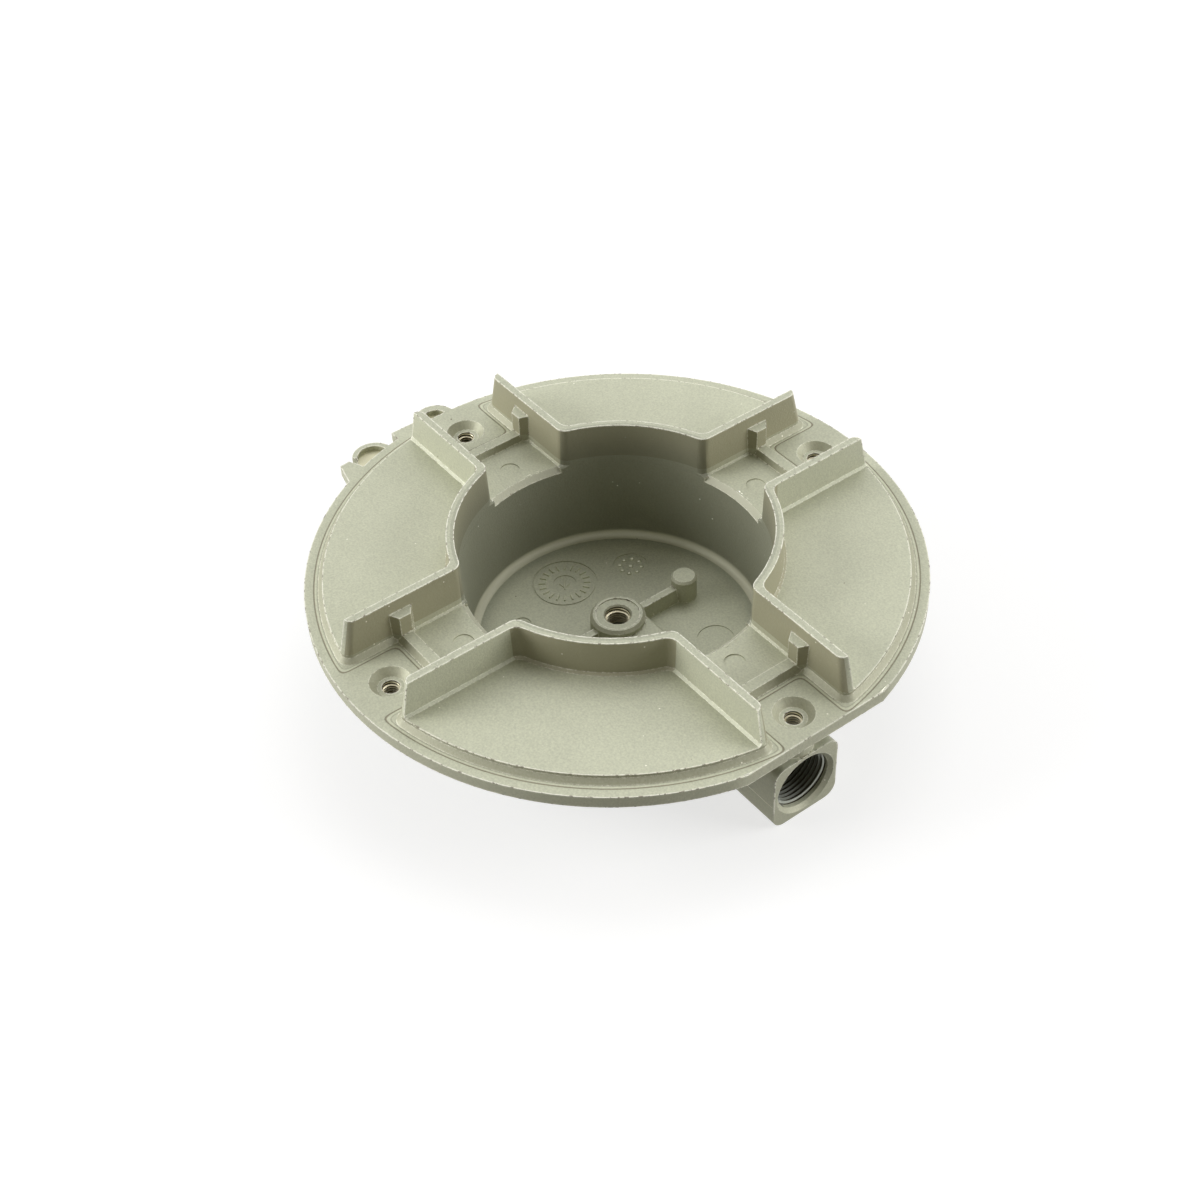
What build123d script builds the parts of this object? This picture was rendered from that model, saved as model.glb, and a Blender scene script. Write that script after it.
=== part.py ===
from build123d import *
import math
import os

# Gas hob burner cup: one aluminium die casting, millimetres, +Z up.
# The origin is the middle of the underside, on the burner axis.
# +X points to the gas inlet, the four air channels lie along +X, +Y, -X and -Y.

# Flange
flange_radius = 70.0
flange_thickness = 3.0
flange_top_z = 26.7
inlet_flat_inset = 2.5

# Raised sectors with their U-shaped walls, between the air channels
ledge_width = 4.2
sector_height = 1.8
sector_corner = 2.0
wall_height = 10.5
wall_thickness = 2.5
wall_corner = 2.6
mouth_corner = 3.0
channel_width = 20.0
draft = 2.0
fin_end_draft = 12.5
fin_end_round = 2.0
sector_foot_slope = 1.1
foot_margin = 0.2
wall_foot_slope = 0.55
inner_foot_slope = 0.4

# Cup
mouth_radius = 35.2
cup_floor_inset = 0.8
cup_floor_z = 4.4
cup_floor_round = 2.0
cup_wall = 3.0
cup_under_inset = 0.4
floor_thickness = 2.9
cup_underside_slope = 2.5
mouth_edge_break = 1.2

# Dam with two pilasters across each channel
dam_radius = 50.2
dam_top = 2.6
dam_inner_run = 0.45
dam_outer_run = 0.95
dam_corner = 2.4
dam_height = 1.8
pilaster_foot = 5.9
pilaster_face = 2.9
pilaster_depth = 1.7
pilaster_height = 7.4
pilaster_slope = 0.5

# Screw seats
screw_inset = 9.8
seat_diameter = 9.1
seat_floor_diameter = 6.0
seat_depth = 1.7
screw_hole_diameter = 4.0
screw_hole_depth = 8.0
screw_boss_diameter = 9.0
web_thickness = 2.5

# Injector boss, locating pins and ribs, heights from the cup floor
boss_radius = 6.45
boss_height = 5.7
boss_lip_width = 1.3
boss_lip_height = 0.3
boss_edge = 0.7
injector_hole_diameter = 6.0
injector_chamfer = 0.35
foot_pad_radius = 9.5
pin_radius = 3.05
pin_distance = 19.7
pin_height = 6.3
pin_edge = 0.5
rib_width = 1.8
rib_foot_width = 2.8
rib_height = 4.0

# Gas inlet and duct
inlet_size = 17.5
inlet_corner = 3.1
inlet_face_inset = 5.0
inlet_bore_diameter = 14.0
inlet_bore_depth = 14.0
inlet_chamfer = 0.9
duct_width = 12.4
duct_edge = 1.0
duct_height = 3.9
passage_diameter = 4.0
passage_step = 0.1

# Ejector marks and the bare discs of the mould inserts
mark_depth = 0.2
channel_mark_radius = 41.4
channel_mark_diameter = 4.7
floor_mark_radius = 22.8
floor_mark_diameters = {45: 8.6, 135: 8.6, 225: 4.4}
dial_distance = 21.1
dial_diameter = 15.8
dial_line = 0.45
dial_hub_diameter = 5.6

# Loops at the rim for the leads, angles from -X towards -Y
loop_angle = 18.6
loop_offset = 0.3
loop_outer_radius = 5.2
loop_wall = 1.3
loop_slit_angle = 21.6
loop_slit = 1.4
stub_start_angle = 22.3
stub_tip_angle = 24.2
stub_end_angle = 27.7
stub_reach = 5.0
stub_break = 0.8
lead_angle = 2.1
lead_offset = -0.3
lead_outer_radius = 5.0
lead_wall = 2.0
lead_notch_angle = -3.0
lead_notch_width = 0.9
lead_notch_depth = 2.0
tab_reach = 1.4
tab_depth = 6.0
tab_start = 5.5
tab_end = 14.3

# Sizes that follow from those above
overlap = 0.5
round_steps = 3
far = 2 * flange_radius
quarters = [0, 90, 180, 270]
upward = (Align.CENTER, Align.CENTER, Align.MIN)
flange_under_z = flange_top_z - flange_thickness
wall_top_z = flange_top_z + wall_height
sector_top_z = flange_top_z + sector_height
sector_radius = flange_radius - ledge_width
half_channel = channel_width / 2
lean = math.tan(math.radians(draft))
cup_floor_radius = mouth_radius - cup_floor_inset
cup_under_z = cup_floor_z - floor_thickness
boss_top_z = cup_floor_z + boss_height
pin_top_z = cup_floor_z + pin_height
rib_top_z = cup_floor_z + rib_height
duct_top_z = cup_floor_z + duct_height
inlet_z = inlet_size / 2
inlet_face_x = flange_radius - inlet_face_inset
screw_x = flange_radius - screw_inset
screw_boss_length = flange_under_z - inlet_size + overlap


def polar(distance, angle):
    """A point at a distance from the burner axis, angle in degrees from +X."""
    turn = math.radians(angle)
    return distance * math.cos(turn), distance * math.sin(turn)


def quadrant(radius_in, radius_out, edge):
    """Plan of a ring between two radii, cut to x and y beyond the given edge."""
    ring = Circle(radius_out) - Circle(radius_in)
    corner = Pos(edge, edge) * Rectangle(far, far, align=(Align.MIN, Align.MIN))
    return ring & corner


def near_radius(shape_list, radius):
    """The corners of a plan that lie on a circle about the axis."""
    return shape_list.filter_by(lambda v: abs(math.hypot(v.X, v.Y) - radius) < 1e-3)


def quarter_round(centre_x, centre_y, radius):
    """Points of a quarter circle in even steps, from below its centre to the right of it."""
    turns = [math.radians(90 * step / round_steps) for step in range(round_steps + 1)]
    return [(centre_x + radius * math.sin(turn), centre_y - radius * math.cos(turn)) for turn in turns]


def flange():
    """Round flange with one straight side over the gas inlet."""
    disc = Circle(flange_radius) - Circle(mouth_radius)
    flat_x = flange_radius - inlet_flat_inset
    beyond = Pos(flat_x, 0) * Rectangle(far, far, align=(Align.MIN, Align.CENTER))
    plan = disc - beyond + lead_loops()
    return extrude(Pos(0, 0, flange_under_z) * plan, flange_thickness)


def ring_loop(angle, offset, outer_radius, wall):
    """Plan of one round loop that stands out from the rim, opposite the inlet."""
    spot = Pos(*polar(flange_radius + offset, 180 + angle))
    return spot * (Circle(outer_radius) - Circle(outer_radius - wall)) - Circle(flange_radius)


def lead_loops():
    """Plan of the two loops, the straight tab between them and the broken stub."""
    slit = Rot(0, 0, 180 + loop_slit_angle) * Pos(flange_radius + stub_reach, 0) * Rectangle(
        2 * loop_outer_radius, loop_slit)
    outer = ring_loop(loop_angle, loop_offset, loop_outer_radius, loop_wall) - slit
    notch = Rot(0, 0, 180 + lead_notch_angle) * Pos(flange_radius, 0) * Rectangle(
        lead_notch_depth, lead_notch_width, align=(Align.MIN, Align.CENTER))
    inner = ring_loop(lead_angle, lead_offset, lead_outer_radius, lead_wall) - notch
    tab = Pos(-flange_radius - tab_reach, -tab_start) * Rectangle(
        tab_depth, tab_end - tab_start, align=(Align.MIN, Align.MAX))
    stub = make_face(Polyline(
        polar(flange_radius - overlap, 180 + stub_start_angle),
        polar(flange_radius + stub_reach - stub_break, 180 + stub_start_angle),
        polar(flange_radius + stub_reach, 180 + stub_tip_angle),
        polar(flange_radius - overlap, 180 + stub_end_angle),
        close=True,
    ))
    return outer + inner + tab + stub


def sector_block(turn):
    """Full-height block of one sector, rounded in plan and with draft."""
    plan = quadrant(mouth_radius, sector_radius, half_channel)
    plan = fillet(near_radius(plan.vertices(), sector_radius), sector_corner)
    plan = fillet(near_radius(plan.vertices(), mouth_radius), mouth_corner)
    return Rot(0, 0, turn) * Pos(0, 0, flange_top_z) * extrude(plan, wall_height, taper=draft)


def sector_pocket(turn):
    """Hollow behind the U-shaped wall of one sector, with a sloping foot."""
    back_of_wall = mouth_radius + wall_thickness
    plan = quadrant(back_of_wall, flange_radius, half_channel + wall_thickness)
    plan = fillet(near_radius(plan.vertices(), back_of_wall), wall_corner)
    pocket = extrude(plan, wall_height, taper=-draft)
    foot = pocket.edges().group_by(Axis.Z)[0]
    foot = foot.filter_by(lambda e: math.hypot(e.center().X, e.center().Y) < sector_radius)
    return Rot(0, 0, turn) * Pos(0, 0, sector_top_z) * chamfer(foot, wall_foot_slope)


def space_around_sectors(foot_slope):
    """Air channels and outer ledge, with sloping feet along the sectors."""
    space = Pos(0, 0, flange_top_z) * Cylinder(far, wall_height, align=upward)
    for turn in quarters:
        space -= sector_block(turn)
    feet = space.edges().group_by(Axis.Z)[0]
    feet = feet.filter_by(lambda e: math.hypot(e.center().X, e.center().Y) < flange_radius)
    feet = feet.filter_by(lambda e: e.length < far)
    return chamfer(feet, foot_slope)


def fin_end():
    """Space beyond the sloping, rounded end of the fin on the +Y side of the +X channel."""
    end_x = math.sqrt(sector_radius**2 - (half_channel + wall_thickness) ** 2)
    round_x = end_x - fin_end_round
    back_y = half_channel + wall_thickness + wall_foot_slope + overlap
    beyond = make_face(Polyline(
        *quarter_round(round_x, half_channel + fin_end_round, fin_end_round),
        (end_x, back_y),
        (far, back_y),
        (far, half_channel - overlap),
        (round_x, half_channel - overlap),
        close=True,
    ))
    slant = (-math.tan(math.radians(fin_end_draft)), lean, 1)
    return extrude(Pos(0, 0, sector_top_z) * beyond, 2 * wall_height, dir=slant)


def sectors():
    """Four raised sectors, each with two fins and the arc wall at the mouth."""
    foot_radius = sector_radius + sector_foot_slope + foot_margin
    bottom = Pos(0, 0, flange_top_z - overlap)
    ring = bottom * Cylinder(foot_radius, wall_height + overlap, align=upward)
    ring -= bottom * Cylinder(mouth_radius, wall_height + overlap, align=upward)
    inside_dams = Pos(0, 0, flange_top_z) * Cylinder(dam_radius, wall_height, align=upward)
    body = ring - (space_around_sectors(sector_foot_slope) - inside_dams)
    body -= space_around_sectors(inner_foot_slope) & inside_dams
    end = fin_end()
    other_end = mirror(end, Plane((0, 0, 0), z_dir=(1, -1, 0)))
    for turn in quarters:
        body -= sector_pocket(turn)
        body -= Rot(0, 0, turn) * end
        body -= Rot(0, 0, turn) * other_end
    return body


def cup_shell():
    """Cup wall and floor as one turned profile, open at the top."""
    under_radius = cup_floor_radius + cup_wall - cup_under_inset
    outside = Polyline(
        (0, cup_under_z),
        (under_radius, cup_under_z),
        (mouth_radius + cup_wall, flange_top_z - overlap),
        (0, flange_top_z - overlap),
        close=True,
    )
    profile = make_face(outside)
    corner = profile.vertices().sort_by_distance((under_radius, cup_under_z))[0]
    profile = chamfer(corner, cup_underside_slope)
    return revolve(Plane.XZ * profile, Axis.Z)


def cup_space():
    """The hollow of the cup below the flange top, rounded at its floor."""
    rounding = quarter_round(
        cup_floor_radius - cup_floor_round, cup_floor_z + cup_floor_round, cup_floor_round)
    inside = [(0, cup_floor_z), *rounding, (mouth_radius, flange_top_z), (0, flange_top_z)]
    return revolve(Plane.XZ * make_face(Polyline(*inside, close=True)), Axis.Z)


def dam():
    """Low dam across the +X channel with a pilaster on each fin."""
    z = flange_top_z
    top_in = dam_radius - dam_top / 2
    top_out = dam_radius + dam_top / 2
    section = make_face(Polyline(
        (top_in - dam_inner_run, z - overlap),
        (top_in - dam_inner_run, z),
        (top_in, z + dam_height),
        (top_out, z + dam_height),
        (top_out + dam_outer_run, z),
        (top_out + dam_outer_run, z - overlap),
        close=True,
    ))
    reach = half_channel + overlap
    bar = extrude(Plane.XZ * section, reach, both=True)
    uprights = pilaster() + mirror(pilaster(), Plane.XZ)
    corner = rounded_corner(top_in - dam_inner_run)
    return bar + uprights + corner + mirror(corner, Plane.XZ)


def rounded_corner(foot_x):
    """Filling that rounds the corner between the dam's inner side and the fin on its -Y side."""
    round_x = foot_x - dam_corner
    round_y = dam_corner - half_channel
    behind_x = foot_x + dam_inner_run
    behind_y = -half_channel - overlap
    plan = make_face(Polyline(
        *quarter_round(round_x, round_y, dam_corner),
        (behind_x, round_y),
        (behind_x, behind_y),
        (round_x, behind_y),
        close=True,
    ))
    return extrude(Pos(0, 0, flange_top_z - overlap) * plan, dam_height + overlap, taper=draft)


def pilaster():
    """Upright on the fin face, narrower at its face, with a sloping top."""
    wall_y = half_channel + wall_height * lean
    face_y = half_channel - pilaster_depth
    plan = make_face(Polyline(
        (dam_radius - pilaster_foot / 2, wall_y),
        (dam_radius - pilaster_face / 2, face_y),
        (dam_radius + pilaster_face / 2, face_y),
        (dam_radius + pilaster_foot / 2, wall_y),
        close=True,
    ))
    upright = extrude(Pos(0, 0, flange_top_z - overlap) * plan, pilaster_height + overlap)
    top_z = flange_top_z + pilaster_height
    above = make_face(Polyline(
        (face_y, top_z - pilaster_slope),
        (wall_y, top_z),
        (wall_y, top_z + overlap),
        (face_y, top_z + overlap),
        close=True,
    ))
    cutter = Pos(dam_radius, 0, 0) * extrude(Plane.YZ * above, pilaster_foot, both=True)
    return upright - cutter


def screw_boss():
    """Boss under the screw seat with a web back to the cup, on the +X side."""
    length = screw_boss_length + overlap
    spot = Pos(screw_x, 0, flange_under_z + overlap)
    boss = spot * Cylinder(
        screw_boss_diameter / 2, length, align=(Align.CENTER, Align.CENTER, Align.MAX))
    web_size = screw_x - mouth_radius - overlap
    web = spot * Box(
        web_size, web_thickness, length, align=(Align.MAX, Align.CENTER, Align.MAX))
    return boss + web


def screw_seat():
    """Hollow of the +X screw seat: conical dish and threaded hole."""
    below = (Align.CENTER, Align.CENTER, Align.MAX)
    dish = Cone(seat_floor_diameter / 2, seat_diameter / 2, seat_depth, align=below)
    hole = Cylinder(screw_hole_diameter / 2, screw_hole_depth, align=below)
    return Pos(screw_x, 0, flange_top_z) * (dish + hole)


def round_post(radius, bottom_z, top_z, edge):
    """Upright round post with a broken top edge, on the axis."""
    post = Pos(0, 0, bottom_z) * Cylinder(
        radius, top_z - bottom_z, align=(Align.CENTER, Align.CENTER, Align.MIN))
    return chamfer(post.edges().sort_by(Axis.Z)[-1], edge)


def injector_boss():
    """Post for the injector with a raised lip, and the foot pad below the cup."""
    post = round_post(boss_radius, cup_under_z, boss_top_z, boss_edge)
    recess = Pos(0, 0, boss_top_z) * Cylinder(
        boss_radius - boss_lip_width, boss_lip_height, align=(Align.CENTER, Align.CENTER, Align.MAX))
    pad = Cylinder(foot_pad_radius, cup_floor_z - overlap, align=(Align.CENTER, Align.CENTER, Align.MIN))
    return post - recess + pad


def pin_with_rib():
    """Locating pin on the +Y side, tied to the injector boss by a rib."""
    post = Pos(0, pin_distance, 0) * round_post(pin_radius, cup_floor_z - overlap, pin_top_z, pin_edge)
    rib_section = make_face(Polyline(
        (-rib_foot_width / 2, cup_floor_z - overlap),
        (-rib_width / 2, rib_top_z),
        (rib_width / 2, rib_top_z),
        (rib_foot_width / 2, cup_floor_z - overlap),
        close=True,
    ))
    rib_start = boss_radius - boss_lip_width
    rib = extrude(Plane.XZ * rib_section, pin_distance - rib_start, dir=(0, 1, 0))
    rib = Pos(0, rib_start, 0) * rib
    return post + rib


def duct():
    """Bar that carries the gas way from the inlet boss to the injector boss."""
    section = RectangleRounded(duct_width, duct_top_z, duct_edge)
    section = Plane.YZ * Pos(0, duct_top_z / 2) * section
    return extrude(section, mouth_radius + cup_wall)


def inlet_boss():
    """Rounded square boss for the inlet thread, under the straight side."""
    section = Plane.YZ * Pos(0, inlet_z) * RectangleRounded(inlet_size, inlet_size, inlet_corner)
    start = cup_floor_radius + cup_wall / 2
    return Pos(start, 0, 0) * extrude(section, inlet_face_x - start)


def gas_way():
    """Inlet thread hole, passage under the cup floor and injector hole."""
    inward = (Align.CENTER, Align.CENTER, Align.MIN)
    mouth = Plane((inlet_face_x, 0, inlet_z), z_dir=(-1, 0, 0))
    bore_radius = inlet_bore_diameter / 2
    bore = mouth * Cylinder(bore_radius, inlet_bore_depth, align=inward)
    bevel = mouth * Cone(bore_radius + inlet_chamfer, bore_radius, inlet_chamfer, align=inward)
    passage_z = inlet_z - bore_radius + passage_diameter / 2 + passage_step
    passage_x = inlet_face_x - inlet_bore_depth + overlap
    passage_start = Plane((passage_x, 0, passage_z), z_dir=(-1, 0, 0))
    passage = passage_start * Cylinder(passage_diameter / 2, passage_x, align=inward)
    return bore + bevel + passage + injector_hole(passage_z)


def injector_hole(bottom_z):
    """Threaded hole of the injector with its bevel, down to the passage."""
    below = (Align.CENTER, Align.CENTER, Align.MAX)
    seat_z = boss_top_z - boss_lip_height
    radius = injector_hole_diameter / 2
    hole = Cylinder(radius, seat_z - bottom_z, align=below)
    bevel = Cone(radius, radius + injector_chamfer, injector_chamfer, align=below)
    return Pos(0, 0, seat_z) * (hole + bevel)


def shallow_disc(x, y, z, diameter):
    """Hollow of a shallow round mark in a floor at height z."""
    spot = Pos(x, y, z)
    return spot * Cylinder(diameter / 2, mark_depth, align=(Align.CENTER, Align.CENTER, Align.MAX))


def marks():
    """Ejector marks in the channels and on the cup floor, and the dial's ring."""
    hollow = Part()
    for turn in quarters:
        hollow += shallow_disc(*polar(channel_mark_radius, turn), flange_top_z, channel_mark_diameter)
    for angle, diameter in floor_mark_diameters.items():
        hollow += shallow_disc(*polar(floor_mark_radius, angle), cup_floor_z, diameter)
    dial = shallow_disc(-dial_distance, 0, cup_floor_z, dial_diameter)
    dial -= shallow_disc(-dial_distance, 0, cup_floor_z, dial_diameter - 2 * dial_line)
    hub = shallow_disc(-dial_distance, 0, cup_floor_z, dial_hub_diameter)
    return hollow + dial + hub


def mouth_edge():
    """Hollow that breaks the edge of the +X channel floor at the cup mouth."""
    edge = make_face(Polyline(
        (mouth_radius - overlap, flange_top_z - mouth_edge_break),
        (mouth_radius, flange_top_z - mouth_edge_break),
        (mouth_radius + mouth_edge_break, flange_top_z),
        (mouth_radius - overlap, flange_top_z),
        close=True,
    ))
    ring = revolve(Plane.XZ * edge, Axis.Z)
    width = channel_width - 2 * inner_foot_slope
    keep = Pos(0, 0, flange_top_z) * Box(
        far, width, 4 * mouth_edge_break, align=(Align.MIN, Align.CENTER, Align.CENTER))
    return ring & keep


def burner_cup():
    """The whole casting."""
    body = flange() + cup_shell() + sectors()
    for turn in quarters:
        body += Rot(0, 0, turn) * dam()
        body += Rot(0, 0, turn) * screw_boss()
    body -= cup_space()
    body += injector_boss() + duct() + inlet_boss()
    body += pin_with_rib() + Rot(0, 0, 180) * pin_with_rib()
    for turn in quarters:
        body -= Rot(0, 0, turn) * screw_seat()
        body -= Rot(0, 0, turn) * mouth_edge()
    return body - gas_way() - marks()


if __name__ == "__main__":
    os.makedirs("parts", exist_ok=True)
    cup = burner_cup()
    cup.label = "burner_cup"
    export_step(cup, "parts/burner_cup.step")
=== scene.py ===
"""Looks of a gas hob burner cup: die-cast aluminium, cut threads, mould marks and a plain studio."""
import math
import random
from collections import namedtuple

import bpy
from mathutils import Matrix, Vector


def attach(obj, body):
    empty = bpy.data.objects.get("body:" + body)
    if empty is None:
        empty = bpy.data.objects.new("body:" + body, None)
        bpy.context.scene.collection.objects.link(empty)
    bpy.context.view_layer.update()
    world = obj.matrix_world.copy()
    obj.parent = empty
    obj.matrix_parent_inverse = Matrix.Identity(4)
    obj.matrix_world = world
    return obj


MM = 0.001
UP = Vector((0, 0, 1))

# Places on the casting, in millimetres from the middle of its underside
FLANGE_TOP = 26.7
SECTOR_TOP = 28.5
CUP_FLOOR = 4.4
WALL_TOP = 37.2
SECTOR_RADIUS = 65.8
HALF_CHANNEL = 10.0
FLANGE_RADIUS = 70.0
FLANGE_UNDER = 23.7
MOUTH_RADIUS = 35.2
DAM_RADIUS = 50.2
DAM_FOOT = 52.45
CHANNEL_MARK = 41.4
SCREW_RADIUS = 60.2
SCREW_SEAT = 25.0
INJECTOR_SEAT = 9.8
INJECTOR_BEVEL = 0.35
INLET_FACE = 65.0
INLET_CHAMFER = 0.9
INLET_AXIS = 8.75
INLET_SIDE = 8.75
DIAL_CENTRE = Vector((-21.1, 0, CUP_FLOOR))
DISC_CENTRE = Vector((-16.1, 16.1, CUP_FLOOR - 0.2))

# Threads, in millimetres: drawn length, radius of the root and of the crest, and pitch
Thread = namedtuple("Thread", "length root crest pitch")
INLET_THREAD = Thread(13.0, 6.93, 6.4, 1.0)
INJECTOR_THREAD = Thread(5.4, 2.95, 2.5, 0.75)
SCREW_THREAD = Thread(6.2, 1.95, 1.6, 0.7)
STEPS_PER_TURN = 40

# Loops at the rim: angle from -X in degrees, offset from the rim and radius of the opening's skin
LOOPS = [(18.6, 0.3, 4.2), (2.1, -0.3, 3.3)]
SKIN_BOTTOM = 1.0
SKIN_TOP = 1.6
SKIN_SAG = 0.15

# Edges turning by more than this many degrees stay sharp, and points this near are one for shading
SHARP_ANGLE = 35
SAME_POINT = 0.002

# The darker side of the studio, behind the photographer, and the light from it and from the rest
DARK_SIDE = Vector((0.66, -0.48, 0.58))
DARK_LIGHT = (0.09, 0.08, 0.055, 1)
BRIGHT_LIGHT = (0.82, 0.82, 0.82, 1)
WHITE = (1, 1, 1, 1)

# Soft lamps: place in metres and power in watts
LAMPS = [
    ("back_lamp", (-0.28, 0.36, 0.85), 2.0),
    ("left_lamp", (-0.6, -0.85, 0.4), 10.5),
    ("right_lamp", (0.68, 0.76, 0.38), 7.2),
]
LAMP_SIZE = 0.6

# Floor: its side in metres, its place under the casting in millimetres, what is seen of it and
# what it throws back as light
FLOOR_SIZE = 8
FLOOR_GAP = 0.05
FLOOR_SEEN = (0.4, 0.4, 0.4, 1)
FLOOR_GLOW = 0.68
FLOOR_BOUNCE = (0.2, 0.2, 0.19, 1)

# The photograph's camera: places in millimetres, roll in degrees and lens on a 36 mm sensor
CAMERA_PLACE = Vector((252.8, -184.5, 310.2))
CAMERA_TARGET = Vector((8.16, -10.64, 26.7))
CAMERA_ROLL = -2.608
CAMERA_LENS = 56.29
CAMERA_SENSOR = 36

# Colours as they look in plain light
CASTING = (193, 195, 173)
# Pale metal of burrs, specks and edges; on the edges partly wear and partly a painted highlight
PALE_EDGE = (244, 243, 229)
# A painted highlight on the rounded cup foot and channel mouths
ROUNDING_HIGHLIGHT = (216, 215, 192)
DARK_SPECK = (98, 82, 58)
# Painted shade: on steep faces, at the feet of the sectors and round the cup wall
STEEP_SHADE = (150, 145, 119)
FOOT_SHADE = (104, 98, 74)
HOLLOW_SHADE = (97, 99, 86)
# Thread strips: a painted highlight for crests and mouth sides, and painted shade for grooves and far sides
PAINTED_HIGHLIGHT_METAL = (246, 238, 206)
SHADED_METAL = (70, 63, 44)
INLET_METAL = (178, 182, 172)
WEB_METAL = (224, 221, 192)
MARK_METAL = (206, 207, 184)

# Share of the painted shade on steep faces up to the sector tops, and above them in the channels and in the
# pockets
LOW_SHADE_SHARE = 0.3
CHANNEL_SHADE_SHARE = 0.8
POCKET_SHADE_SHARE = 0.05

# Share of the other tints: painted shade at the feet and round the cup, painted highlight on the roundings,
# pale edges of wear and painted highlight, chips and dark lines
FOOT_SHADE_TINT = 0.2
HOLLOW_SHADE_TINT = 0.6
ROUNDING_HIGHLIGHT_TINT = 0.7
EDGE_WEAR_AND_HIGHLIGHT_TINT = 0.85
CHIP_TINT = 0.7
LINE_TINT = 0.6

# Distance from the burner axis, along and across the nearest channel, and the height
Plan = namedtuple("Plan", "radius along across height")


def linear(colour):
    """Scene-linear RGBA of a colour given as it looks on a screen, 0 to 255."""
    parts = [c / 255 for c in colour]
    return (*[c / 12.92 if c <= 0.04045 else ((c + 0.055) / 1.055) ** 2.4 for c in parts], 1)


def node(tree, kind, inputs=None, **settings):
    """One shader node, its inputs given as values or as other nodes' sockets."""
    made = tree.nodes.new("ShaderNode" + kind)
    for name, value in settings.items():
        setattr(made, name, value)
    for name, value in (inputs or {}).items():
        if isinstance(value, bpy.types.NodeSocket):
            tree.links.new(value, made.inputs[name])
        else:
            made.inputs[name].default_value = value
    return made


def calc(tree, operation, *values):
    """The result of one Math node."""
    return node(tree, "Math", dict(enumerate(values)), operation=operation).outputs[0]


def times(tree, product, *values):
    """The product of two or more values."""
    for value in values:
        product = calc(tree, "MULTIPLY", product, value)
    return product


def dot(tree, a, b):
    """The dot product of two vectors."""
    return node(tree, "VectorMath", {0: a, 1: b}, operation="DOT_PRODUCT").outputs["Value"]


def scaled(tree, vector, factor):
    """A vector or colour times a number."""
    return node(tree, "VectorMath", {0: vector, "Scale": factor}, operation="SCALE").outputs[0]


def ramp(tree, value, low, high):
    """0 below low, 1 above high and smooth between, or the reverse where low is above high."""
    inputs = {"Value": value, "From Min": low, "From Max": high}
    return node(tree, "MapRange", inputs, interpolation_type="SMOOTHSTEP").outputs["Result"]


def near(tree, value, middle, reach):
    """1 where a value lies within reach of a middle value, 0 beyond."""
    return calc(tree, "COMPARE", value, middle, reach)


def blend(tree, factor, a, b):
    """Colour that goes from a to b as the factor goes from 0 to 1."""
    return node(tree, "Mix", {"Factor": factor, 6: a, 7: b}, data_type="RGBA").outputs[2]


def new_material(name):
    """An empty node material."""
    material = bpy.data.materials.new(name)
    material.use_nodes = True
    material.node_tree.nodes.clear()
    return material, material.node_tree


def millimetres(tree):
    """Object coordinates in millimetres."""
    return scaled(tree, node(tree, "TexCoord").outputs["Object"], 1 / MM)


def noise(tree, place, scale, detail):
    """Noise between 0 and 1, with its scale in turns per millimetre."""
    inputs = {"Vector": place, "Scale": scale, "Detail": detail, "Roughness": 0.6}
    return node(tree, "TexNoise", inputs).outputs["Fac"]


def specks(tree, place, scale, radius, share):
    """1 in small round specks, in a share of the cells of a loose grid."""
    cells = node(tree, "TexVoronoi", {"Vector": place, "Scale": scale, "Randomness": 1.0})
    spot = ramp(tree, cells.outputs["Distance"], radius, radius * 0.4)
    picked = node(tree, "SeparateColor", {"Color": cells.outputs["Color"]}).outputs["Red"]
    return times(tree, spot, calc(tree, "LESS_THAN", picked, share))


def plan_of(tree, place):
    """Where a point lies on the casting, the same for all four quarters."""
    axes = node(tree, "SeparateXYZ", {"Vector": place})
    x = calc(tree, "ABSOLUTE", axes.outputs["X"])
    y = calc(tree, "ABSOLUTE", axes.outputs["Y"])
    radius = calc(tree, "SQRT", calc(tree, "ADD", times(tree, x, x), times(tree, y, y)))
    along = calc(tree, "MAXIMUM", x, y)
    across = calc(tree, "MINIMUM", x, y)
    return Plan(radius, along, across, axes.outputs["Z"])


def fine_line(tree, distance, middle, width):
    """1 in a fine line where a distance has a middle value."""
    off_line = calc(tree, "ABSOLUTE", calc(tree, "SUBTRACT", distance, middle))
    return ramp(tree, off_line, width, width * 0.3)


def foot_lines(tree, plan):
    """Dark fine lines round the sector feet and dams on the flange, and the painted highlight strip between
    them.
    """
    from_fin = calc(tree, "SUBTRACT", HALF_CHANNEL, plan.across)
    from_rim = calc(tree, "SUBTRACT", plan.radius, SECTOR_RADIUS)
    from_sector = calc(tree, "SMOOTH_MAX", from_fin, from_rim, 3.0)
    beyond_dam = calc(tree, "SUBTRACT", plan.along, DAM_FOOT - 1.0)
    beside_dam = calc(tree, "SUBTRACT", plan.across, HALF_CHANNEL)
    from_dam = calc(tree, "MAXIMUM", beyond_dam, beside_dam)
    distance = calc(tree, "SMOOTH_MIN", from_sector, from_dam, 3.0)
    on_top = times(tree, near(tree, plan.height, FLANGE_TOP, 0.02), ramp(tree, plan.radius, 52.0, 52.5))
    outer = fine_line(tree, distance, middle=1.95, width=0.24)
    inner = times(tree, fine_line(tree, distance, middle=1.2, width=0.16), 0.4)
    dark = times(tree, calc(tree, "MAXIMUM", outer, inner), on_top)
    # The pale strip between the lines is a painted highlight
    highlight_strip = times(tree, fine_line(tree, distance, middle=1.6, width=0.4), on_top)
    return dark, highlight_strip


def steep_faces(tree):
    """Towards 1 on faces along the pull of the mould, which take a warmer and darker painted shade."""
    turned = node(tree, "TexCoord").outputs["Normal"]
    upward = node(tree, "SeparateXYZ", {"Vector": turned}).outputs["Z"]
    return ramp(tree, calc(tree, "ABSOLUTE", upward), 0.97, 0.7)


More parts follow.
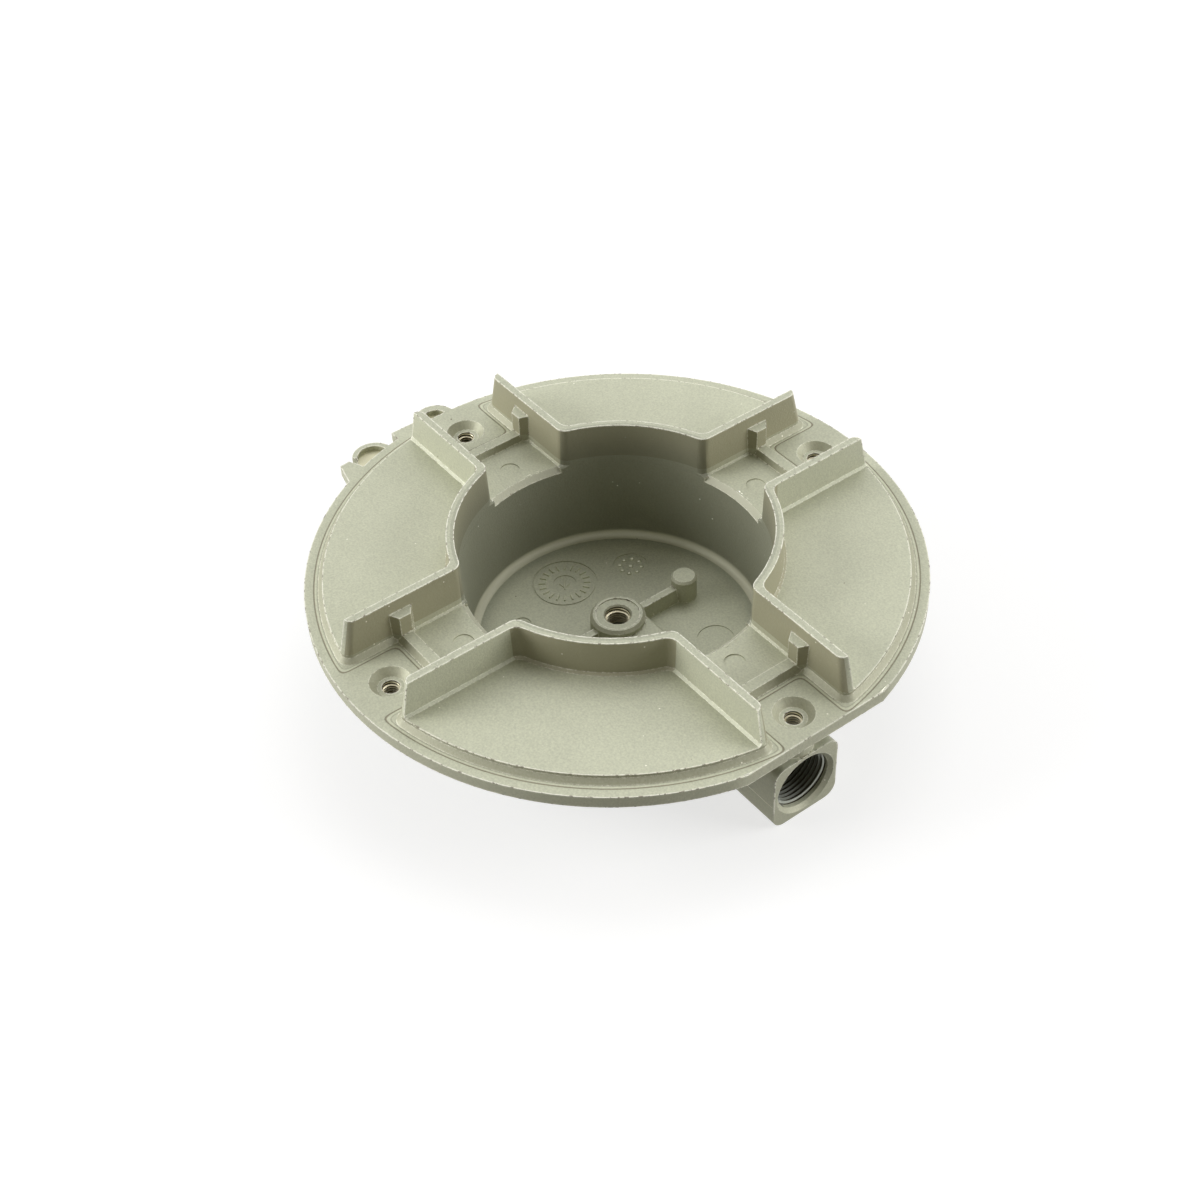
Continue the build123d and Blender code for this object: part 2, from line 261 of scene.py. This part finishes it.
def steep_shade_share(tree, plan):
    """Share of the painted shade on steep faces: most in the channels and round the cup, least in the
    pockets.
    """
    in_channel = calc(tree, "LESS_THAN", plan.across, HALF_CHANNEL + 1.2)
    round_cup = calc(tree, "LESS_THAN", plan.radius, MOUTH_RADIUS + 3.8)
    inside = calc(tree, "MAXIMUM", in_channel, round_cup)
    on_walls = calc(tree, "MULTIPLY_ADD", inside, CHANNEL_SHADE_SHARE - POCKET_SHADE_SHARE, POCKET_SHADE_SHARE)
    above = calc(tree, "GREATER_THAN", plan.height, SECTOR_TOP)
    return calc(tree, "MULTIPLY_ADD", above, calc(tree, "SUBTRACT", on_walls, LOW_SHADE_SHARE), LOW_SHADE_SHARE)


def shaded_foot_slopes(tree, plan, steep):
    """1 on the slopes at the feet of the sectors and on the sides of the dams, which take a painted shade.
    """
    above_flange = ramp(tree, plan.height, FLANGE_TOP, FLANGE_TOP + 0.3)
    below_sector = ramp(tree, plan.height, SECTOR_TOP + 0.1, SECTOR_TOP - 0.2)
    outside = calc(tree, "GREATER_THAN", plan.radius, DAM_RADIUS - 2.0)
    return times(tree, steep, above_flange, below_sector, outside)


def cup_wall_shade(tree, plan):
    """Towards 1 on the wall of the cup and beside it, for a painted shade that grows downwards."""
    within = calc(tree, "LESS_THAN", plan.radius, MOUTH_RADIUS + 1.2)
    towards_wall = ramp(tree, plan.radius, 28.0, MOUTH_RADIUS)
    downward = ramp(tree, plan.height, WALL_TOP + 8.0, FLANGE_TOP)
    return times(tree, within, towards_wall, downward)


def highlit_roundings(tree, plan):
    """Towards 1 on the rounded foot of the cup wall and on the rounded mouths of the channels, for a
    painted highlight.
    """
    foot = times(
        tree,
        near(tree, plan.radius, 34.0, 2.0),
        ramp(tree, plan.height, CUP_FLOOR, CUP_FLOOR + 0.05),
        ramp(tree, plan.height, CUP_FLOOR + 1.8, CUP_FLOOR + 1.0),
    )
    mouth = times(
        tree,
        near(tree, plan.radius, MOUTH_RADIUS + 0.9, 1.3),
        near(tree, plan.across, 0, HALF_CHANNEL - 0.2),
        near(tree, plan.height, FLANGE_TOP - 0.7, 0.68),
        0.6,
    )
    return calc(tree, "MAXIMUM", foot, mouth)


def ragged_worn_and_highlit_edges(tree, plan, patches):
    """1 along the edges, with a ragged border, but not at the moulds' flat marks or below the arc walls:
    pale for wear on the edges and a painted highlight along the feet.
    """
    round_edge = node(tree, "Bevel", {"Radius": 0.8 * MM}, samples=8).outputs[0]
    match = dot(tree, round_edge, node(tree, "NewGeometry").outputs["Normal"])
    shift = times(tree, calc(tree, "SUBTRACT", patches, 0.5), 0.28)
    edge = ramp(tree, calc(tree, "ADD", match, shift), 0.945, 0.89)
    channel_mark = times(
        tree,
        near(tree, plan.along, CHANNEL_MARK, 3.5),
        near(tree, plan.across, 0, 4.0),
        near(tree, plan.height, FLANGE_TOP, 0.3),
    )
    cup_mark = calc(tree, "LESS_THAN", plan.height, CUP_FLOOR + 0.05)
    at_mouth = near(tree, plan.radius, MOUTH_RADIUS, 0.6)
    below_wall = times(tree, at_mouth, near(tree, plan.height, FLANGE_TOP, 1.0))
    plain = calc(tree, "MAXIMUM", calc(tree, "MAXIMUM", channel_mark, cup_mark), below_wall)
    return times(tree, edge, calc(tree, "SUBTRACT", 1, plain))


def casting_tone(tree, plan, place, grain, patches, foot_highlight_strip):
    """Brightness of the casting: grain, faint clouds, a painted highlight strip at the feet and worn wall
    tops.
    """
    clouds = noise(tree, place, scale=0.07, detail=2)
    wall_top = ramp(tree, plan.height, WALL_TOP - 0.1, WALL_TOP - 0.05)
    tone = calc(tree, "MULTIPLY_ADD", grain, 0.6, 0.64)
    tone = calc(tree, "MULTIPLY_ADD", clouds, 0.12, tone)
    # A painted highlight strip at the feet
    tone = calc(tree, "MULTIPLY_ADD", foot_highlight_strip, 0.14, tone)
    return calc(tree, "SUBTRACT", tone, times(tree, wall_top, patches, 0.22))


def cast_aluminium():
    """Shot-blasted die casting: fine grain, faint clouds, specks, pale ragged edges of wear and painted
    highlight, chips, painted shade on steep faces, feet and cup wall, and painted highlight on roundings.
    """
    material, tree = new_material("cast_aluminium")
    place = millimetres(tree)
    plan = plan_of(tree, place)
    grain = noise(tree, place, scale=2.2, detail=3)
    patches = noise(tree, place, scale=1.3, detail=3)
    dark_line, foot_highlight_strip = foot_lines(tree, plan)
    edge = ragged_worn_and_highlit_edges(tree, plan, patches)
    chips = times(tree, edge, ramp(tree, noise(tree, place, scale=1.0, detail=3), 0.57, 0.6))
    steep = steep_faces(tree)

    tints = [
        # Painted shade on steep faces
        (times(tree, steep, steep_shade_share(tree, plan)), STEEP_SHADE),
        # Painted shade on the foot slopes
        (times(tree, shaded_foot_slopes(tree, plan, steep), FOOT_SHADE_TINT), FOOT_SHADE),
        # Painted shade round the cup wall
        (times(tree, cup_wall_shade(tree, plan), HOLLOW_SHADE_TINT), HOLLOW_SHADE),
        # Painted highlight on the roundings
        (times(tree, highlit_roundings(tree, plan), ROUNDING_HIGHLIGHT_TINT), ROUNDING_HIGHLIGHT),
        (specks(tree, place, scale=0.16, radius=0.045, share=0.5), DARK_SPECK),
        (specks(tree, place, scale=0.28, radius=0.07, share=0.4), PALE_EDGE),
        # Pale edges: wear, and a painted highlight along the feet
        (times(tree, edge, EDGE_WEAR_AND_HIGHLIGHT_TINT), PALE_EDGE),
        (times(tree, chips, CHIP_TINT), DARK_SPECK),
        (times(tree, dark_line, LINE_TINT), DARK_SPECK),
    ]
    tone = casting_tone(tree, plan, place, grain, patches, foot_highlight_strip)
    colour = scaled(tree, linear(CASTING)[:3], tone)
    for amount, tint in tints:
        colour = blend(tree, amount, colour, linear(tint))

    relief = calc(tree, "SUBTRACT", grain, calc(tree, "ADD", dark_line, chips))
    bump = node(tree, "Bump", {"Height": relief, "Strength": 0.6, "Distance": 0.12 * MM})
    shader = node(
        tree,
        "BsdfPrincipled",
        {
            "Base Color": colour,
            "Metallic": 0.15,
            "Specular IOR Level": 0.3,
            "Roughness": calc(tree, "MULTIPLY_ADD", grain, 0.12, 0.45),
            "Normal": bump.outputs[0],
        },
    )
    node(tree, "OutputMaterial", {"Surface": shader.outputs[0]})
    return material


def cut_metal(name, colour, rough):
    """Bare metal with fine grain, for threads, marks and flash."""
    material, tree = new_material(name)
    grain = noise(tree, millimetres(tree), scale=5.0, detail=2)
    tone = calc(tree, "MULTIPLY_ADD", grain, 0.3, 0.8)
    bump = node(tree, "Bump", {"Height": grain, "Strength": 0.2, "Distance": 0.03 * MM})
    shader = node(
        tree,
        "BsdfPrincipled",
        {
            "Base Color": scaled(tree, linear(colour)[:3], tone),
            "Metallic": 0.5,
            "Roughness": rough,
            "Normal": bump.outputs[0],
        },
    )
    node(tree, "OutputMaterial", {"Surface": shader.outputs[0]})
    return material


def soften(casting):
    """Smooth shading over the small slopes, with the broad faces kept flat."""
    group = bpy.data.node_groups.new("smooth_slopes", "GeometryNodeTree")
    group.interface.new_socket("Geometry", in_out="INPUT", socket_type="NodeSocketGeometry")
    group.interface.new_socket("Geometry", in_out="OUTPUT", socket_type="NodeSocketGeometry")
    start = group.nodes.new("NodeGroupInput")
    merge = group.nodes.new("GeometryNodeMergeByDistance")
    merge.inputs["Distance"].default_value = SAME_POINT * MM
    faces = group.nodes.new("GeometryNodeSetShadeSmooth")
    angle = group.nodes.new("GeometryNodeInputMeshEdgeAngle")
    sharp = group.nodes.new("FunctionNodeCompare")
    sharp.inputs["B"].default_value = math.radians(SHARP_ANGLE)
    edges = group.nodes.new("GeometryNodeSetShadeSmooth")
    edges.domain = "EDGE"
    edges.inputs["Shade Smooth"].default_value = False
    end = group.nodes.new("NodeGroupOutput")
    links = group.links
    links.new(start.outputs[0], merge.inputs["Geometry"])
    links.new(merge.outputs[0], faces.inputs["Geometry"])
    links.new(faces.outputs[0], edges.inputs["Geometry"])
    links.new(angle.outputs["Unsigned Angle"], sharp.inputs["A"])
    links.new(sharp.outputs["Result"], edges.inputs["Selection"])
    links.new(edges.outputs[0], end.inputs[0])
    casting.modifiers.new("smooth_slopes", "NODES").node_group = group
    weighted = casting.modifiers.new("flat_faces", "WEIGHTED_NORMAL")
    weighted.keep_sharp = True


def about_axis(degrees):
    """A turn about the burner's upright axis."""
    return Matrix.Rotation(math.radians(degrees), 3, "Z")


def mesh_piece(name, points, faces, material):
    """A mesh of points in millimetres that rides on the casting."""
    mesh = bpy.data.meshes.new(name)
    mesh.from_pydata([Vector(p) * MM for p in points], [], faces)
    mesh.materials.append(material)
    piece = bpy.data.objects.new(name, mesh)
    bpy.context.scene.collection.objects.link(piece)
    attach(piece, "root")
    return piece


def joined(name, parts, material):
    """One piece of several parts' points and faces."""
    points = []
    faces = []
    for part_points, part_faces in parts:
        first = len(points)
        points += part_points
        faces += [tuple(first + i for i in face) for face in part_faces]
    mesh_piece(name, points, faces, material)


def thread(name, mouth, inward, sizes, lit_metal, shaded):
    """Ridge of an inside thread, wound from the mouth of a hole, painted lit on its crest and mouth side
    and painted shade on its groove and far side.
    """
    side = inward.orthogonal().normalized()
    count = int((sizes.length / sizes.pitch - 1) * STEPS_PER_TURN)
    root = sizes.root
    crest = sizes.crest
    # Each strip between two profile points: groove, mouth side, crest and far side
    profile = [(root, -0.5), (root, -0.15), (crest, 0.05), (crest, 0.2), (root, 0.5)]
    strips = len(profile) - 1
    lit_strips = (1, 2)
    points = []
    for i in range(count + 1):
        ray = Matrix.Rotation(2 * math.pi * i / STEPS_PER_TURN, 3, inward) @ side
        run_in = min(1, i / STEPS_PER_TURN, (count - i) / STEPS_PER_TURN)
        for radius, offset in profile:
            reach = root + (radius - root) * run_in
            depth = (0.5 + i / STEPS_PER_TURN + offset) * sizes.pitch
            points.append(mouth + ray * reach + inward * depth)
    faces = []
    for i in range(count):
        for j in range(strips):
            a = i * len(profile) + j
            faces.append((a, a + 1, a + 1 + len(profile), a + len(profile)))
    piece = mesh_piece(name, points, faces, shaded)
    piece.data.materials.append(lit_metal)
    for face in piece.data.polygons:
        # Crest and mouth side take the lit metal, groove and far side the painted shade
        face.material_index = 1 if face.index % strips in lit_strips else 0


def threads(lit_metal, shaded):
    """The threads of the inlet, the injector hole and the four screw holes."""
    grey = cut_metal("inlet_metal", INLET_METAL, 0.25)
    inlet = Vector((INLET_FACE - INLET_CHAMFER, 0, INLET_AXIS))
    thread("inlet_thread", inlet, Vector((-1, 0, 0)), INLET_THREAD, grey, shaded)
    injector = UP * (INJECTOR_SEAT - INJECTOR_BEVEL)
    thread("injector_thread", injector, -UP, INJECTOR_THREAD, lit_metal, shaded)
    for i in range(4):
        seat = about_axis(90 * i) @ Vector((SCREW_RADIUS, 0, SCREW_SEAT))
        thread(f"screw_thread_{i + 1}", seat, -UP, SCREW_THREAD, lit_metal, shaded)


def raised_bar(foot, along, length, width, height):
    """Points and faces of a small bar with sloping sides that stands on the floor of the cup."""
    across = UP.cross(along)
    points = []
    for level, inset in ((-0.05, 0), (height, 0.15)):
        for i, j in ((-1, -1), (1, -1), (1, 1), (-1, 1)):
            shift = along * i * (length / 2 - inset) + across * j * (width / 2 - inset)
            points.append(foot + shift + UP * level)
    sides = [(i, (i + 1) % 4, (i + 1) % 4 + 4, i + 4) for i in range(4)]
    return points, sides + [(3, 2, 1, 0), (4, 5, 6, 7)]


def raised_dot(foot, radius, height):
    """Points and faces of a small dome that stands on the floor of the cup."""
    steps = 12
    points = []
    for reach, level in ((1.0, -0.05), (0.85, 0.6 * height), (0.45, height)):
        for i in range(steps):
            turn = 2 * math.pi * i / steps
            ray = Vector((math.cos(turn), math.sin(turn), 0))
            points.append(foot + ray * radius * reach + UP * level)
    faces = [tuple(reversed(range(steps))), tuple(range(2 * steps, 3 * steps))]
    for ring in (0, steps):
        for i in range(steps):
            following = (i + 1) % steps
            faces.append((ring + i, ring + following, ring + steps + following, ring + steps + i))
    return points, faces


def mould_marks(material):
    """Ticks round the dial, the pointer in its hub, and a ring of dots on the disc beside it."""
    ticks = []
    tick_count = 20
    for i in range(tick_count):
        ray = about_axis(360 * i / tick_count) @ Vector((1, 0, 0))
        ticks.append(raised_bar(DIAL_CENTRE + ray * 5.4, ray, length=1.8, width=0.55, height=0.35))
    joined("dial_ticks", ticks, material)

    pointer = about_axis(-35) @ Vector((1, 0, 0))
    side = UP.cross(pointer)
    hub = DIAL_CENTRE - UP * 0.2
    arrow = [raised_bar(hub, pointer, length=4.2, width=0.5, height=0.25)]
    for way in (1, -1):
        slant = (pointer + side * 0.9 * way).normalized()
        barb = hub + pointer * 1.4 - slant * 0.9
        arrow.append(raised_bar(barb, slant, length=1.9, width=0.45, height=0.24))
    joined("dial_pointer", arrow, material)

    dots = [raised_dot(DISC_CENTRE, radius=0.65, height=0.5)]
    ring_count = 8
    for i in range(ring_count):
        ray = about_axis(360 * i / ring_count) @ Vector((2.6, 0, 0))
        dots.append(raised_dot(DISC_CENTRE + ray, radius=0.6, height=0.5))
    joined("disc_dots", dots, material)


def burr(foot, along, out, length, width, height, taper, chance):
    """Points and faces of a ragged ridge of flash, running out to a point where taper is 1."""
    stations = 7
    across = along.cross(out)
    points = []
    for i in range(stations):
        share = i / (stations - 1)
        left = max(1 - taper * share, 0.05)
        middle = foot + along * length * share
        half = across * width / 2 * left * chance.uniform(0.7, 1.0)
        crest = out * height * left * chance.uniform(0.5, 1.0)
        points += [middle - half - out * 0.1, middle + half - out * 0.1, middle + crest]
    faces = [(0, 2, 1), (3 * stations - 3, 3 * stations - 2, 3 * stations - 1)]
    for i in range(0, 3 * stations - 3, 3):
        faces += [(i, i + 1, i + 4, i + 3), (i + 1, i + 2, i + 5, i + 4), (i + 2, i, i + 3, i + 5)]
    return points, faces


def mouth_burrs(material, chance):
    """Burrs down the corners of the channel mouths and along their edges."""
    burrs = []
    for i in range(4):
        turn = about_axis(90 * i)
        for way in (1, -1):
            corner = turn @ Vector((34.0, 9.75 * way, FLANGE_TOP - 0.2))
            inward = turn @ Vector((-0.96, -0.28 * way, 0))
            length = chance.uniform(1.5, 3.6)
            width = chance.uniform(0.6, 1.3)
            burrs.append(burr(corner, -UP, inward, length, width, height=0.25, taper=1, chance=chance))
        for _ in range(3):
            angle = chance.uniform(-13, 13)
            ray = turn @ about_axis(angle) @ Vector((1, 0, 0))
            edge = ray * (MOUTH_RADIUS + 1.7) + UP * (FLANGE_TOP - 0.03)
            length = chance.uniform(0.8, 2.0)
            along = UP.cross(ray)
            burrs.append(burr(edge, along, UP, length, width=0.35, height=0.18, taper=0.7, chance=chance))
    joined("mouth_burrs", burrs, material)


def rim_burrs(material, chance):
    """Burrs at both ends of the rim's flat side."""
    burrs = []
    for way in (1, -1):
        end = Vector((67.2, 18.0 * way, FLANGE_TOP - 0.03))
        rim = Vector((-0.26, 0.96 * way, 0))
        flat = Vector((0, -way, 0))
        burrs.append(burr(end, rim, UP, length=2.6, width=0.5, height=0.3, taper=0.6, chance=chance))
        burrs.append(burr(end, flat, UP, length=1.8, width=0.4, height=0.25, taper=0.9, chance=chance))
    joined("rim_burrs", burrs, material)


def parting_line(material, chance):
    """The line along the side of the inlet where the halves of the mould met."""
    start = Vector((INLET_FACE - 12.5, -INLET_SIDE, INLET_AXIS - 2.0))
    along = Vector((1, 0, 0))
    out = Vector((0, -1, 0))
    line = burr(start, along, out, length=12.0, width=0.3, height=0.12, taper=0, chance=chance)
    joined("parting_line", [line], material)


def flash(material):
    """All the thin metal that the mould left on the edges."""
    chance = random.Random(7)
    mouth_burrs(material, chance)
    rim_burrs(material, chance)
    parting_line(material, chance)


def loop_web(name, angle, offset, radius, material):
    """Thin sagging skin of metal across the opening of one loop at the rim."""
    outward = about_axis(180 + angle) @ Vector((1, 0, 0))
    middle = outward * (FLANGE_RADIUS + offset) + UP * FLANGE_UNDER
    steps = 16
    arc = [middle + about_axis(-110 + 220 * i / steps) @ outward * radius for i in range(steps + 1)]
    points = []
    for level in (SKIN_BOTTOM, SKIN_TOP):
        points += [p + UP * level for p in arc]
        points.append(middle + UP * (level - SKIN_SAG))
    count = len(arc) + 1
    faces = []
    for i in range(steps):
        faces += [(i + 1, i, count - 1), (count + i, count + i + 1, 2 * count - 1)]
        faces.append((i, i + 1, count + i + 1, count + i))
    faces += [(steps, count - 1, 2 * count - 1, count + steps), (count - 1, 0, count, 2 * count - 1)]
    mesh_piece(name, points, faces, material)


def seen_rays(tree):
    """1 for the rays that show the background, straight or in a reflection."""
    rays = node(tree, "LightPath").outputs
    seen = calc(tree, "MAXIMUM", rays["Is Camera Ray"], rays["Is Glossy Ray"])
    return calc(tree, "MAXIMUM", seen, rays["Is Transmission Ray"])


def white_floor():
    """White floor that keeps the casting's soft shadow."""
    bpy.ops.mesh.primitive_plane_add(size=FLOOR_SIZE, location=(0, 0, -FLOOR_GAP * MM))
    floor = bpy.context.object
    floor.name = "floor"
    material, tree = new_material("white_floor")
    lit = node(tree, "BsdfDiffuse", {"Color": FLOOR_SEEN})
    glow = node(tree, "Emission", {"Color": WHITE, "Strength": FLOOR_GLOW})
    white = node(tree, "AddShader", {0: lit.outputs[0], 1: glow.outputs[0]})
    bounce = node(tree, "BsdfDiffuse", {"Color": FLOOR_BOUNCE})
    surface = node(tree, "MixShader", {0: seen_rays(tree), 1: bounce.outputs[0], 2: white.outputs[0]})
    node(tree, "OutputMaterial", {"Surface": surface.outputs[0]})
    floor.data.materials.append(material)


def white_surround():
    """Surround that is seen as white and gives soft light, less of it from behind the photographer."""
    world = bpy.data.worlds.new("surround")
    bpy.context.scene.world = world
    world.use_nodes = True
    tree = world.node_tree
    tree.nodes.clear()
    toward = dot(tree, node(tree, "TexCoord").outputs["Generated"], DARK_SIDE)
    light = blend(tree, ramp(tree, toward, 0.0, 0.7), BRIGHT_LIGHT, DARK_LIGHT)
    surround = node(tree, "Background", {"Color": blend(tree, seen_rays(tree), light, WHITE)})
    node(tree, "OutputWorld", {"Surface": surround.outputs[0]})


def lamp(name, place, power):
    """A square soft lamp that shines at the middle of the scene."""
    data = bpy.data.lights.new(name, "AREA")
    data.size = LAMP_SIZE
    data.energy = power
    made = bpy.data.objects.new(name, data)
    made.location = place
    made.rotation_euler = place.to_track_quat("Z", "Y").to_euler()
    bpy.context.scene.collection.objects.link(made)


def studio():
    """Floor, surround and lamps, with colours shown as they are."""
    bpy.context.scene.view_settings.view_transform = "Standard"
    white_floor()
    white_surround()
    for name, place, power in LAMPS:
        lamp(name, Vector(place), power)


def camera():
    """The photograph's view, with the small roll that the photograph has."""
    place = CAMERA_PLACE * MM
    ahead = (CAMERA_TARGET * MM - place).normalized()
    right = ahead.cross(UP).normalized()
    up = right.cross(ahead)
    roll = math.radians(CAMERA_ROLL)
    turned_right = right * math.cos(roll) + up * math.sin(roll)
    turned_up = up * math.cos(roll) - right * math.sin(roll)
    data = bpy.data.cameras.new("camera")
    data.lens = CAMERA_LENS
    data.sensor_width = CAMERA_SENSOR
    data.clip_start = 0.01
    made = bpy.data.objects.new("camera", data)
    turn = Matrix((turned_right, turned_up, -ahead)).transposed()
    made.matrix_world = Matrix.Translation(place) @ turn.to_4x4()
    bpy.context.scene.collection.objects.link(made)
    bpy.context.scene.camera = made


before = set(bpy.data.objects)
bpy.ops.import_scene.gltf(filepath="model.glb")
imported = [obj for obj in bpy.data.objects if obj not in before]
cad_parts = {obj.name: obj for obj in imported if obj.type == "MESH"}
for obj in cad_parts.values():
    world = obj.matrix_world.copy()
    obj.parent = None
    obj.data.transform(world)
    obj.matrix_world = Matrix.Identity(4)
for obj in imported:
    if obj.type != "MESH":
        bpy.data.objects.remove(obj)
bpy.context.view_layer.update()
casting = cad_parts["burner_cup"]
casting.data.materials.clear()
casting.data.materials.append(cast_aluminium())
soften(casting)
highlight_metal = cut_metal("highlight_metal", PAINTED_HIGHLIGHT_METAL, 0.3)
threads(highlight_metal, cut_metal("shaded_metal", SHADED_METAL, 0.4))
mould_marks(cut_metal("mark_metal", MARK_METAL, 0.45))
flash(cut_metal("burr_metal", PALE_EDGE, 0.4))
web_metal = cut_metal("web_metal", WEB_METAL, 0.5)
for number, (angle, offset, radius) in enumerate(LOOPS, 1):
    loop_web(f"loop_web_{number}", angle, offset, radius, web_metal)
studio()
camera()
